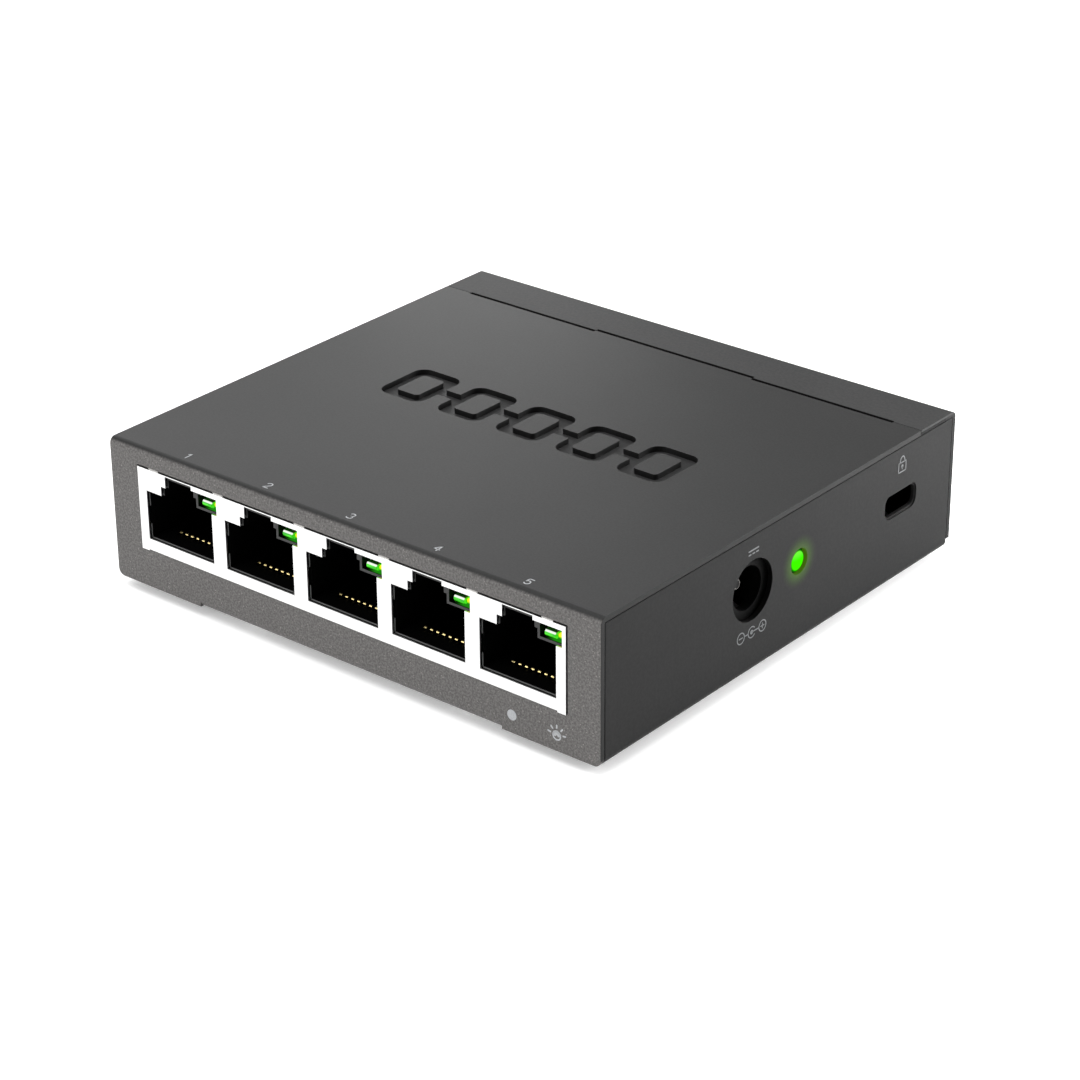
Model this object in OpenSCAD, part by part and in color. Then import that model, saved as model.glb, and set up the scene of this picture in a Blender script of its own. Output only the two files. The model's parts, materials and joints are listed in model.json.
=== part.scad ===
// Five port desktop network switch in a folded steel case.
// Millimetres. The origin is on the desk under the centre of the case, +Z is up,
// the ports face -Y and the power socket faces +X.

/* [Case] */
// Width of the case, left side to right side
body_w = 82; // [80:0.5:100]
// Depth of the case, front panel to rear wall
body_d = 76.2; // [74:0.2:96]
// Height of the case without its feet
body_h = 20.1; // [19.5:0.1:25]
// Thickness of the steel sheet
sheet_t = 0.7; // [0.5:0.01:0.9]
// Outside radius of the cover's folds
fold_r = 0.9; // [0.9:0.05:1.2]
// Outside radius of the tray's folds
tray_fold_r = 1; // [1:0.05:1.3]
// Width of the hairline seams between cover and tray
seam = 0.1; // [0.05:0.01:0.2]
// Depth of the tray's flange on the top, at the rear
rear_flange_d = 8.35; // [7:0.05:10]
// Depth of the cover's flange on the underside, at the front
front_flange_d = 8.3; // [7:0.05:10]
// Width of the cover's flange on the underside
front_flange_w = 51.4; // [46:0.2:54]
// Depth of the pressed pattern on the top
press_depth = 0.8; // [0.3:0.05:1]

/* [Feet and fixings] */
// Height of the rubber feet
foot_h = 1.5; // [1.3:0.1:3]
// Radius of the rubber feet
foot_r = 4.25; // [3:0.25:5]
// Distance from the case's edges to the feet's centres
foot_inset = 8; // [6.5:0.5:10]
// Shank radius of every screw
screw_r = 1.45; // [1.2:0.05:1.5]
// Head radius of every screw
screw_head_r = 2.5; // [2.3:0.05:2.8]
// Head height of every screw
screw_head_h = 1.1; // [0.8:0.1:1.3]
// Height of the standoffs that carry the board
standoff_h = 2.85; // [2.4:0.05:3.5]
// Distance between the two wall keyholes
keyhole_gap = 48; // [40:1:60]
// Entry radius of the wall keyholes
keyhole_r = 3.5; // [3:0.1:4]
// How far the keyholes lie behind the middle of the case
keyhole_y = 12; // [8:0.5:16]

/* [Board] */
// Thickness of the circuit board
board_t = 1.6; // [1:0.1:2]
// Clearance between the board and the case's sides
board_gap = 1.8; // [1.5:0.1:3]
// Clearance between the board's front edge and the front panel
board_front_gap = 0.5; // [0.3:0.1:1]
// Clearance between the board's rear edge and the rear wall
board_rear_gap = 4.3; // [3:0.1:6]

/* [Port block] */
// Sideways place of the port block's middle
jack_x = -0.2; // [-0.5:0.1:0.5]
// Width of a port's opening
port_w = 11.9; // [11.7:0.05:12.1]
// Height of a port's opening, without its latch slot
port_h = 7.02; // [6.8:0.02:7.2]
// How far the lamp window reaches past the opening
lamp_reach = 0.91; // [0.8:0.01:1]
// Width of metal between a lamp window and the next opening
port_wall = 1.43; // [1.3:0.01:1.6]
// Depth of the port block
jack_d = 16.8; // [16.5:0.1:19]
// Thickness of the port block's metal shield
shield_t = 0.25; // [0.2:0.01:0.3]
// Height of the shield's face
shield_h = 11.76; // [11.7:0.02:12]
// Distance between the contact wires
wire_pitch = 1.016; // [0.95:0.001:1.05]
// Thickness of the contact wires
wire_t = 0.42; // [0.3:0.01:0.5]
// Rise of the contact wires above the horizontal, at rest
wire_rise = 22; // [15:1:24]

/* [Power socket and lamps] */
// Sideways place of the power socket along the right side
socket_y = -7.66; // [-9:0.1:-6]
// Height of the power socket's axis above the board
socket_z = 6.5; // [6:0.1:7]
// Radius of the hole for the power socket
socket_hole_r = 4.225; // [4.1:0.025:4.5]
// Bore radius of the power socket
socket_bore_r = 3; // [2.8:0.05:3.2]
// Depth of the power socket's bore
socket_bore_d = 9.2; // [8.5:0.1:9.5]
// Radius of the power socket's centre pin
centre_pin_r = 1; // [0.8:0.05:1.25]
// Place of the power lamp along the right side
lamp_y = 2.35; // [1:0.1:4]
// Radius of the power lamp
lamp_r = 1.5; // [1.2:0.1:1.6]
// Place of the lock slot along the right side
lock_y = 25.5; // [22:0.1:27]

/* [Hidden] */
$fn = 48;
PORTS = [1 : 5];
WIRES = [0 : 7];
SIDES = [-1, 1];
FACET = 10; // steps in each quarter turn of a fold

front_y = -body_d / 2;
rear_y = body_d / 2;
side_x = body_w / 2;
base_z = foot_h;
top_z = base_z + body_h;

board_bottom = base_z + sheet_t + standoff_h;
board_top = board_bottom + board_t;
board_w = body_w - 2 * sheet_t - 2 * board_gap;
board_front = front_y + sheet_t + board_front_gap;
board_rear = rear_y - sheet_t - board_rear_gap;
pin_tip_z = board_bottom - 0.9;

port_pitch = port_w + lamp_reach + port_wall;
block_w = 4 * port_pitch + port_w + 2 * 1.47;
window_gap = 0.2;
window_bottom = board_top + 0.38;
window_top = window_bottom + shield_h + 0.36;
shield_bottom = board_top + 0.45;
shield_top = shield_bottom + shield_h;
opening_bottom = board_top + 2.07;
port_floor = opening_bottom + 0.13;
port_ceiling = opening_bottom + port_h;
latch_z = port_ceiling + 1.33;
slot_z = port_ceiling + 2.98;
lamp_floor = port_ceiling + 0.1;
lamp_ceiling = port_ceiling + 2.4;
latch_half = 3.2;
slot_half = 2.37;
plastic_inset = 0.1;
lamp_bar_w = 0.35;
rim_front = front_y + shield_t + 0.25;
rim_depth = 0.12;
rim_w = 0.17;
housing_front = rim_front + rim_depth;
housing_foot_front = front_y + sheet_t + 0.1;
corner_foot_w = 1.3;
corner_foot_h = 0.2;
housing_rear = front_y + jack_d - 1.5;
housing_top = shield_top - shield_t - 0.06;
cavity_rear = housing_rear - 1.1;

hinge_y = front_y + 3.7;
hinge_z = board_top + 2.2;
wire_length = 9.2;
groove_w = 0.62;
groove_z = board_top + 1.2;
tail_rows = [front_y + 9.6, front_y + 12.1];

socket_face = side_x - sheet_t - 0.2;
socket_len = 13.5;
socket_w = 9;
socket_h = 11;
socket_axis = board_top + socket_z;
socket_back = socket_face - socket_len;
bore_floor_x = socket_face - socket_bore_d;
pin_root_r = centre_pin_r + 0.25;
pin_tip_x = side_x - 2.4;
pin_bevel = 0.5;
leaf_hinge_x = socket_face - 10.5;
leaf_hinge_z = socket_axis - 3.9;
lamp_axis = board_top + socket_z + 0.05;
lock_z = base_z + 11.4;

seam_y = rear_y - rear_flange_d;
gap_half = 0.3;
gap_shift = 0.45;
gap_end_x = side_x - 4.4;
gap_step_x = 13.6;
tongue_z = top_z - 2 * sheet_t - 0.06;
foot_x = side_x - foot_inset;
foot_y = rear_y - foot_inset;
case_screw_x = front_flange_w / 2 - 7.7;
case_screw_y = front_y + 5;
board_screw_x = board_w / 2 - 4;
board_screw_front = front_y + jack_d + 4.3;
board_screw_rear = board_rear - 4;
magnetic_w = 11.6;
magnetic_pitch = 12.2;
magnetic_y = front_y + jack_d + 4.6;
foot_bevel = 0.4;
label_t = 0.1;
label_y = -10;

chip_y = 6;
chip_h = 1;
pad_h = 0.5;
sink_half = 7;
sink_plate_h = 1.5;
sink_h = 6;
diode_x = board_w / 2 - 16;
diode_y = chip_y + 0.5;
storage_x = diode_x - 1;
storage_y = diode_y + 6.6;
storage_r = 3.15;
coil_x = board_w / 2 - 7.5;
coil_y = lamp_y + 9.75;
regulator_y = coil_y + 8;

// ---- shapes that repeat ----

function arc_points(cx, cy, r, from, to, steps = FACET) =
    [for (i = [0 : steps]) [
        cx + r * cos(from + (to - from) * i / steps),
        cy + r * sin(from + (to - from) * i / steps)
    ]];

function rounded_outline(w, h, r) = concat(
    arc_points(w / 2 - r, h / 2 - r, r, 0, 90),
    arc_points(r - w / 2, h / 2 - r, r, 90, 180),
    arc_points(r - w / 2, r - h / 2, r, 180, 270),
    arc_points(w / 2 - r, r - h / 2, r, 270, 360)
);

function port_x(n) = jack_x + (n - 3) * port_pitch;

// Carries a drawing in Y and Z from x = from to x = to.
module along_x(from, to) {
    translate([from, 0, 0])
        rotate([90, 0, 90])
            linear_extrude(to - from)
                children();
}

// Carries a drawing in X and Z from y = from to y = to.
module along_y(from, to) {
    translate([0, to, 0])
        rotate([90, 0, 0])
            linear_extrude(to - from)
                children();
}

// A box given by two opposite corners.
module block(low, high) {
    translate(low)
        cube(high - low);
}

// A round bar along X.
module bar_x(from, to, y, z, r) {
    translate([from, y, z])
        rotate([0, 90, 0])
            cylinder(h = to - from, r = r);
}

// A pan head screw, head downwards, with its seat at the origin.
module screw(length) {
    difference() {
        union() {
            translate([0, 0, -screw_head_h])
                cylinder(h = screw_head_h, r1 = screw_head_r - 0.5, r2 = screw_head_r);
            translate([0, 0, -0.1])
                cylinder(h = length + 0.1, r = screw_r);
        }
        for (turn = [0, 90])
            rotate([0, 0, turn])
                translate([-1.4, -0.25, -screw_head_h - 1])
                    cube([2.8, 0.5, 1.6]);
    }
}

// A keyhole: an entry hole with a narrower slot towards the rear.
module keyhole_outline() {
    circle(r = keyhole_r);
    translate([-keyhole_r / 2, 0])
        square([keyhole_r, keyhole_r * 1.9]);
    translate([0, keyhole_r * 1.9])
        circle(r = keyhole_r / 2);
}

// ---- folded steel case ----

// Front panel and top in one fold.
module cover_profile() {
    polygon(concat(
        [[front_y, base_z]],
        arc_points(front_y + fold_r, top_z - fold_r, fold_r, 180, 90),
        [[seam_y - gap_half, top_z], [seam_y - gap_half, top_z - sheet_t]],
        arc_points(front_y + fold_r, top_z - fold_r, fold_r - sheet_t, 90, 180),
        [[front_y + sheet_t, base_z]]
    ));
}

// The same fold with the flange that runs under the tray.
module cover_profile_with_flange() {
    polygon(concat(
        [[front_y + front_flange_d, base_z]],
        arc_points(front_y + fold_r, base_z + fold_r, fold_r, 270, 180),
        arc_points(front_y + fold_r, top_z - fold_r, fold_r, 180, 90),
        [[seam_y - gap_half, top_z], [seam_y - gap_half, top_z - sheet_t]],
        arc_points(front_y + fold_r, top_z - fold_r, fold_r - sheet_t, 90, 180),
        arc_points(front_y + fold_r, base_z + fold_r, fold_r - sheet_t, 180, 270),
        [[front_y + front_flange_d, base_z + sheet_t]]
    ));
}

// Pressed pattern on the top: five linked rounded frames, one for each port.
// grow widens every stroke on both sides.
module linked_frames(grow) {
    frame_w = 7.6 + 2 * grow;
    frame_h = 9.6 + 2 * grow;
    frame_step = 10.1;
    stroke = 1.9 + 2 * grow;
    link = frame_step - frame_w + stroke;
    for (i = [-2 : 2])
        translate([i * frame_step, 0])
            difference() {
                polygon(rounded_outline(frame_w, frame_h, 1.8 + grow));
                polygon(rounded_outline(frame_w - 2 * stroke, frame_h - 2 * stroke, 0.6));
            }
    for (i = [-2 : 1])
        translate([(i + 0.5) * frame_step - link / 2, -stroke / 2])
            square([link, stroke]);
}

module top_cover() {
    flange_x = front_flange_w / 2;
    corner_r = 1;
    color("#3d3d3c")
        difference() {
            union() {
                along_x(-side_x, -flange_x)
                    cover_profile();
                along_x(-flange_x, flange_x)
                    cover_profile_with_flange();
                along_x(flange_x, side_x)
                    cover_profile();
                // rear edge: hairline at both ends, a step rearwards in the middle
                for (side = SIDES)
                    block(
                        [side < 0 ? -side_x : gap_end_x, seam_y - 1, top_z - sheet_t],
                        [side < 0 ? -gap_end_x : side_x, seam_y - seam / 2, top_z]
                    );
                block(
                    [-gap_step_x, seam_y - 1, top_z - sheet_t],
                    [gap_step_x, seam_y - gap_half + gap_shift, top_z]
                );
                // the pressed pattern stands out on the underside
                translate([0, 0, top_z - sheet_t - press_depth])
                    linear_extrude(press_depth + 0.1)
                        linked_frames(sheet_t * 0.6);
                // two tongues that dip under the tray's flange
                for (side = SIDES)
                    translate([side * (gap_end_x + gap_step_x) / 2, 0, 0]) {
                        half = (gap_end_x - gap_step_x) / 2 - 0.4;
                        block([-half, seam_y - 1.3, tongue_z], [half, seam_y + 5, tongue_z + sheet_t]);
                        block([-half, seam_y - 1.3, tongue_z], [half, seam_y - gap_half, top_z - 0.1]);
                    }
            }
            // window for the port block, a little deeper at both lower corners
            block(
                [jack_x - block_w / 2 - 0.06, front_y - 1, window_bottom],
                [jack_x + block_w / 2 + window_gap + 0.1, front_y + 2, window_top]
            );
            for (side = SIDES) {
                middle = jack_x + side * (block_w / 2 - corner_foot_w / 2);
                block(
                    [middle - corner_foot_w / 2 - 0.05, front_y - 1, window_bottom - corner_foot_h],
                    [middle + corner_foot_w / 2 + 0.05, front_y + 2, window_bottom + 0.5]
                );
            }
            // rounded lower corners of the front panel
            for (side = SIDES)
                along_y(front_y - 1, front_y + sheet_t + 0.05)
                    translate([side * (side_x - corner_r), base_z + corner_r])
                        difference() {
                            translate([side < 0 ? -corner_r - 1 : 0, -corner_r - 1])
                                square([corner_r + 1, corner_r + 1]);
                            circle(r = corner_r);
                        }
            // holes for the two case screws
            for (side = SIDES)
                translate([side * case_screw_x, case_screw_y, base_z - 1])
                    cylinder(h = sheet_t + 2, r = screw_r + 0.15);
            translate([0, 0, top_z - press_depth])
                linear_extrude(press_depth + 1)
                    linked_frames(0);
        }
}

// Floor and both side walls in one fold.
module tray_profile() {
    wall_top = top_z - sheet_t - seam;
    r = tray_fold_r;
    polygon(concat(
        [[side_x, wall_top]],
        arc_points(side_x - r, base_z + r, r, 0, -90),
        arc_points(r - side_x, base_z + r, r, 270, 180),
        [[-side_x, wall_top], [sheet_t - side_x, wall_top]],
        arc_points(r - side_x, base_z + r, r - sheet_t, 180, 270),
        arc_points(side_x - r, base_z + r, r - sheet_t, -90, 0),
        [[side_x - sheet_t, wall_top]]
    ));
}

// Rear wall with its top flange, above the corner relief.
module rear_profile() {
    polygon(concat(
        [[rear_y, base_z + tray_fold_r + 0.3]],
        arc_points(rear_y - fold_r, top_z - fold_r, fold_r, 0, 90),
        [[seam_y + gap_half + gap_shift, top_z], [seam_y + gap_half + gap_shift, top_z - sheet_t]],
        arc_points(rear_y - fold_r, top_z - fold_r, fold_r - sheet_t, 90, 0),
        [[rear_y - sheet_t, base_z + tray_fold_r + 0.3]]
    ));
}

// The same wall with the fold into the floor.
module rear_profile_with_fold() {
    r = tray_fold_r;
    polygon(concat(
        [[rear_y - 4, base_z]],
        arc_points(rear_y - r, base_z + r, r, 270, 360),
        arc_points(rear_y - fold_r, top_z - fold_r, fold_r, 0, 90),
        [[seam_y + gap_half + gap_shift, top_z], [seam_y + gap_half + gap_shift, top_z - sheet_t]],
        arc_points(rear_y - fold_r, top_z - fold_r, fold_r - sheet_t, 90, 0),
        arc_points(rear_y - r, base_z + r, r - sheet_t, 360, 270),
        [[rear_y - 4, base_z + sheet_t]]
    ));
}

module lock_outline(w, h) {
    translate([lock_y, lock_z])
        polygon(rounded_outline(w, h, h * 0.36));
}

module base_tray() {
    relief_x = side_x - 1.3;
    flange_gap_x = front_flange_w / 2 + 0.4;
    tongue_half = front_flange_w / 2 - 1.2;
    tongue_bottom = base_z + sheet_t + 0.05;
    flange_end = front_y + front_flange_d + seam;
    color("#333332")
        difference() {
            union() {
                difference() {
                    along_y(front_y + sheet_t + seam, rear_y - sheet_t - seam)
                        tray_profile();
                    // room for the cover's flange
                    block(
                        [-flange_gap_x, front_y - 1, base_z - 1],
                        [flange_gap_x, flange_end, base_z + sheet_t + 0.01]
                    );
                }
                along_x(-relief_x, relief_x)
                    rear_profile_with_fold();
                along_x(-side_x, -relief_x)
                    rear_profile();
                along_x(relief_x, side_x)
                    rear_profile();
                // front edge of the top flange
                for (side = SIDES) {
                    block(
                        [side < 0 ? -side_x : gap_end_x, seam_y + seam / 2, top_z - sheet_t],
                        [side < 0 ? -gap_end_x : side_x, seam_y + 2, top_z]
                    );
                    block(
                        [side < 0 ? -gap_end_x : gap_step_x, seam_y + gap_half, top_z - sheet_t],
                        [side < 0 ? -gap_step_x : gap_end_x, seam_y + 2, top_z]
                    );
                }
                // tongue of the top flange that dips under the cover
                block(
                    [0.6 - gap_step_x, seam_y - 4, tongue_z],
                    [gap_step_x - 0.6, seam_y + 2, tongue_z + sheet_t]
                );
                block(
                    [0.6 - gap_step_x, seam_y + gap_half + gap_shift, tongue_z],
                    [gap_step_x - 0.6, seam_y + 2, top_z - 0.1]
                );
                // tongue of the floor that lies on the cover's flange and takes the case screws
                block(
                    [-tongue_half, front_y + 1.6, tongue_bottom],
                    [tongue_half, flange_end + 1, tongue_bottom + sheet_t]
                );
                block(
                    [-tongue_half, flange_end, base_z],
                    [tongue_half, flange_end + 1, tongue_bottom + sheet_t]
                );
            }
            for (side = SIDES)
                translate([side * case_screw_x, case_screw_y, base_z - 1])
                    cylinder(h = 5, r = screw_r + 0.05);
            for (side = SIDES)
                translate([side * keyhole_gap / 2, keyhole_y, base_z - 1])
                    linear_extrude(sheet_t + 2)
                        keyhole_outline();
            bar_x(side_x - 2, side_x + 1, socket_y, socket_axis, socket_hole_r);
            bar_x(side_x - 2, side_x + 1, lamp_y, lamp_axis, lamp_r + 0.3);
            along_x(side_x - 2, side_x + 1)
                lock_outline(7, 3);
            along_x(side_x - 0.2, side_x + 1)
                lock_outline(7.4, 3.6);
            for (x = SIDES, y = [board_screw_front, board_screw_rear])
                translate([x * board_screw_x, y, base_z - 1])
                    cylinder(h = 5, r = 1.8);
        }
}

module case_screws() {
    color("#8c8c8a")
        for (side = SIDES)
            translate([side * case_screw_x, case_screw_y, base_z])
                screw(2.6);
}

// Standoffs pressed into the floor, flush with its underside.
module standoffs() {
    color("#b9b7ae")
        for (x = SIDES, y = [board_screw_front, board_screw_rear])
            translate([x * board_screw_x, y, base_z])
                difference() {
                    union() {
                        cylinder(h = sheet_t, r = 1.77);
                        translate([0, 0, sheet_t])
                            cylinder(h = standoff_h, r = 2.6);
                    }
                    translate([0, 0, -1])
                        cylinder(h = sheet_t + standoff_h + 2, r = screw_r + 0.05);
                }
}

module board_screws() {
    color("#c2c0b8")
        for (x = SIDES, y = [board_screw_front, board_screw_rear])
            translate([x * board_screw_x, y, board_top])
                rotate([180, 0, 0])
                    screw(board_t + standoff_h - 0.4);
}

module foot(side, end) {
    color("#1c1c1c")
        translate([side * foot_x, end * foot_y, 0]) {
            cylinder(h = foot_bevel, r1 = foot_r - foot_bevel, r2 = foot_r);
            translate([0, 0, foot_bevel])
                cylinder(h = foot_h - foot_bevel, r = foot_r);
        }
}

module rating_label() {
    color("#d9d9d4")
        translate([0, label_y, base_z - label_t])
            linear_extrude(label_t)
                polygon(rounded_outline(42, 20, 1.5));
}

// ---- circuit board ----

module main_board() {
    color("#1f5a34")
        difference() {
            block([-board_w / 2, board_front, board_bottom], [board_w / 2, board_rear, board_top]);
            for (x = SIDES, y = [board_screw_front, board_screw_rear])
                translate([x * board_screw_x, y, board_bottom - 1])
                    cylinder(h = board_t + 2, r = screw_r + 0.15);
            // contact tails
            for (n = PORTS, i = WIRES)
                translate([port_x(n) + (i - 3.5) * wire_pitch, tail_rows[i % 2], board_bottom - 1])
                    cylinder(h = board_t + 2, r = 0.4, $fn = 16);
            // port lamp leads
            for (n = PORTS, dx = lamp_lead_places())
                translate([port_x(n) + dx, lamp_lead_y(), board_bottom - 1])
                    cylinder(h = board_t + 2, r = 0.45, $fn = 16);
            // legs of the shield, pegs of the port block
            for (side = SIDES) {
                block(
                    [jack_x + side * (block_w / 2 - 0.125) - 0.4, front_y + 8.2, board_bottom - 1],
                    [jack_x + side * (block_w / 2 - 0.125) + 0.4, front_y + 10.2, board_top + 1]
                );
                translate([jack_x + side * (block_w / 2 - 1), front_y + 5, board_bottom - 1])
                    cylinder(h = board_t + 2, r = 0.75);
            }
            // power socket terminals
            block(
                [socket_back - 1, socket_y - 1.6, board_bottom - 1],
                [socket_back + 0.2, socket_y + 1.6, board_top + 1]
            );
            block(
                [leaf_hinge_x - 1.3, socket_y - 1.6, board_bottom - 1],
                [leaf_hinge_x - 0.1, socket_y + 1.6, board_top + 1]
            );
            block(
                [leaf_hinge_x + 0.8, socket_y + socket_w / 2 - 0.2, board_bottom - 1],
                [leaf_hinge_x + 3.6, socket_y + socket_w / 2 + 0.9, board_top + 1]
            );
            // power lamp leads
            for (side = SIDES)
                translate([side_x - 7.6, lamp_y + side * 1.27, board_bottom - 1])
                    cylinder(h = board_t + 2, r = 0.5, $fn = 16);
        }
}

// ---- port block ----

// A port's opening in the shield, with its latch slot and lamp window.
module port_outline() {
    half = port_w / 2;
    lamp_x = half + lamp_reach;
    polygon([
        [-half, opening_bottom],
        [half, opening_bottom],
        [half, lamp_floor],
        [lamp_x, lamp_floor],
        [lamp_x, lamp_ceiling],
        [slot_half, lamp_ceiling],
        [slot_half, slot_z],
        [-slot_half, slot_z],
        [-slot_half, latch_z],
        [-latch_half, latch_z],
        [-latch_half, port_ceiling],
        [-half, port_ceiling]
    ]);
}

// The same opening in the plastic, without the lamp window. grow widens it.
// A thin bar stands between its latch step and the lamp tunnel on the right.
module cavity_outline(grow) {
    half = port_w / 2 - plastic_inset + grow;
    latch = latch_half - plastic_inset + grow;
    latch_by_lamp = lamp_left() - lamp_bar_w + grow;
    slot = slot_half - plastic_inset + grow;
    low = port_floor - grow;
    ceiling = port_ceiling - plastic_inset + grow;
    step = latch_z - plastic_inset + grow;
    top = min(housing_top - 0.4 + grow, housing_top - 0.1);
    polygon([
        [-half, low],
        [half, low],
        [half, ceiling],
        [latch_by_lamp, ceiling],
        [latch_by_lamp, step],
        [slot, step],
        [slot, top],
        [-slot, top],
        [-slot, step],
        [-latch, step],
        [-latch, ceiling],
        [-half, ceiling]
    ]);
}

function lamp_left() = slot_half + 0.71;
function lamp_right() = port_w / 2 + lamp_reach - 0.16;
function lamp_lead_places() = [lamp_left() + 0.9, lamp_right() - 0.85];
function lamp_lead_y() = housing_rear + 0.6;

module jack_housing() {
    half = block_w / 2 - shield_t - 0.05;
    color("#111111")
        difference() {
            union() {
                block(
                    [jack_x - half, housing_front, shield_bottom],
                    [jack_x + half, housing_rear, housing_top]
                );
                // its foot stands on the board behind the front panel
                block(
                    [jack_x - half, housing_foot_front, board_top],
                    [jack_x + half, housing_rear, shield_bottom + 0.1]
                );
                // raised rim round each opening and its lamp window
                for (n = PORTS)
                    translate([port_x(n), 0, 0]) {
                        along_y(rim_front, housing_front + 0.1)
                            cavity_outline(rim_w);
                        block(
                            [slot_half, rim_front, port_ceiling - plastic_inset],
                            [lamp_right() + 0.2, housing_front + 0.1, lamp_ceiling]
                        );
                    }
                for (side = SIDES)
                    translate([jack_x + side * (block_w / 2 - 1), front_y + 5, board_bottom - 0.5])
                        cylinder(h = board_t + 1, r = 0.65);
            }
            for (n = PORTS)
                translate([port_x(n), 0, 0]) {
                    along_y(housing_front - 1, cavity_rear)
                        cavity_outline(0);
                    // break in the rim, half way up the opening
                    block(
                        [-port_w / 2 - 0.3, rim_front - 1, port_floor + 1.9],
                        [0.2 - port_w / 2, housing_front + 0.15, port_floor + 4.5]
                    );
                    // lamp tunnel
                    block(
                        [lamp_left(), housing_front - 1, lamp_floor + 0.15],
                        [lamp_right(), housing_rear + 1, lamp_ceiling - 0.12]
                    );
                    // comb of grooves that holds the contact wires, and their holes in the floor
                    for (i = WIRES) {
                        x = (i - 3.5) * wire_pitch;
                        block(
                            [x - groove_w / 2, hinge_y - 0.8, groove_z],
                            [x + groove_w / 2, cavity_rear, port_floor + 0.5]
                        );
                        block(
                            [x - groove_w / 2, tail_rows[i % 2] - groove_w / 2, board_top - 1],
                            [x + groove_w / 2, tail_rows[i % 2] + groove_w / 2, groove_z + 0.5]
                        );
                    }
                }
        }
}

module jack_shield() {
    half = block_w / 2;
    t = shield_t;
    back = front_y + jack_d;
    color("#d6d6d4")
        difference() {
            union() {
                difference() {
                    block([jack_x - half, front_y, shield_bottom], [jack_x + half, back, shield_top]);
                    block(
                        [jack_x - half + t, front_y + t, shield_bottom - 1],
                        [jack_x + half - t, back - t, shield_top - t]
                    );
                }
                // lower corners of the face reach a little further down
                for (side = SIDES) {
                    x = jack_x + side * (half - corner_foot_w / 2);
                    block(
                        [x - corner_foot_w / 2, front_y, shield_bottom - corner_foot_h],
                        [x + corner_foot_w / 2, front_y + t, shield_bottom + 0.1]
                    );
                }
                // legs through the board
                for (side = SIDES) {
                    x = jack_x + side * (half - t / 2);
                    block([x - t / 2, front_y + 8.5, pin_tip_z], [x + t / 2, front_y + 9.9, shield_bottom + 1]);
                }
                // earthing springs that press on the window's upper edge
                for (place = [-2.32, -1.5, -0.5, 0.5, 1.5, 2.32])
                    translate([jack_x + place * port_pitch, front_y + 0.1, shield_top - 0.05])
                        block([-0.87, 0, 0], [0.87, 2.6, 0.25]);
            }
            for (n = PORTS)
                translate([port_x(n), 0, 0])
                    along_y(front_y - 1, front_y + t + 0.01)
                        port_outline();
        }
}

// Eight spring wires that rise from the front bend towards the rear.
module contacts(n) {
    color("#d8b04a")
        for (i = WIRES)
            translate([port_x(n) + (i - 3.5) * wire_pitch, hinge_y, hinge_z])
                rotate([wire_rise, 0, 0]) {
                    block([-wire_t / 2, 0.36, -0.15], [wire_t / 2, wire_length, 0.15]);
                    translate([-wire_t / 2, wire_length, 0])
                        rotate([0, 90, 0])
                            cylinder(h = wire_t, r = 0.15, $fn = 16);
                }
}

// The fixed half of the same wires: front bend, run along the floor and solder tail.
module tails(n) {
    color("#d8b04a")
        for (i = WIRES)
            translate([port_x(n) + (i - 3.5) * wire_pitch, 0, 0]) {
                half = wire_t / 2;
                bar_x(-half, half, hinge_y, hinge_z, 0.25);
                block([-half, hinge_y - 0.25, groove_z + 0.1], [half, hinge_y + 0.25, hinge_z]);
                block([-half, hinge_y, groove_z + 0.1], [half, tail_rows[i % 2] + half, groove_z + 0.35]);
                block(
                    [-half * 0.9, tail_rows[i % 2] - half, pin_tip_z],
                    [half * 0.9, tail_rows[i % 2] + half * 0.9, groove_z + 0.3]
                );
            }
}

// A small lamp: a rectangular body with a half-round nose.
module port_led(n) {
    low = lamp_floor + 0.25;
    high = lamp_ceiling - 0.22;
    nose_x = lamp_left() + 1.35;
    nose_z = (low + high) / 2 - 0.45;
    nose_r = 0.48;
    nose_half = 0.78;
    nose_front = front_y + 1.2;
    body_front = front_y + 1.9;
    color("#8fe07a")
        translate([port_x(n), 0, 0]) {
            block([lamp_left() + 0.08, body_front, low], [lamp_right() - 0.08, front_y + 5.6, high]);
            // green nose, then the round amber lens on its right
            block(
                [nose_x - nose_half, nose_front, nose_z - nose_r],
                [nose_x + nose_half, body_front + 0.1, nose_z + nose_r]
            );
            bar_x(nose_x - nose_half, nose_x + nose_half, nose_front, nose_z, nose_r);
            translate([lamp_right() - 0.95, nose_front, nose_z + 0.05])
                rotate([-90, 0, 0])
                    cylinder(h = body_front - nose_front + 0.1, r = 0.38, $fn = 24);
        }
}
module port_led_leads() {
    lead_z = (lamp_floor + lamp_ceiling) / 2;
    half = 0.22;
    color("#c9c9c6")
        for (n = PORTS, dx = lamp_lead_places())
            translate([port_x(n) + dx, 0, 0]) {
                block([-half, front_y + 5.6, lead_z - half], [half, lamp_lead_y() + half, lead_z + half]);
                block([-half, lamp_lead_y() - half, pin_tip_z], [half, lamp_lead_y() + half, lead_z + half]);
            }
}

// ---- power socket ----

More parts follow.
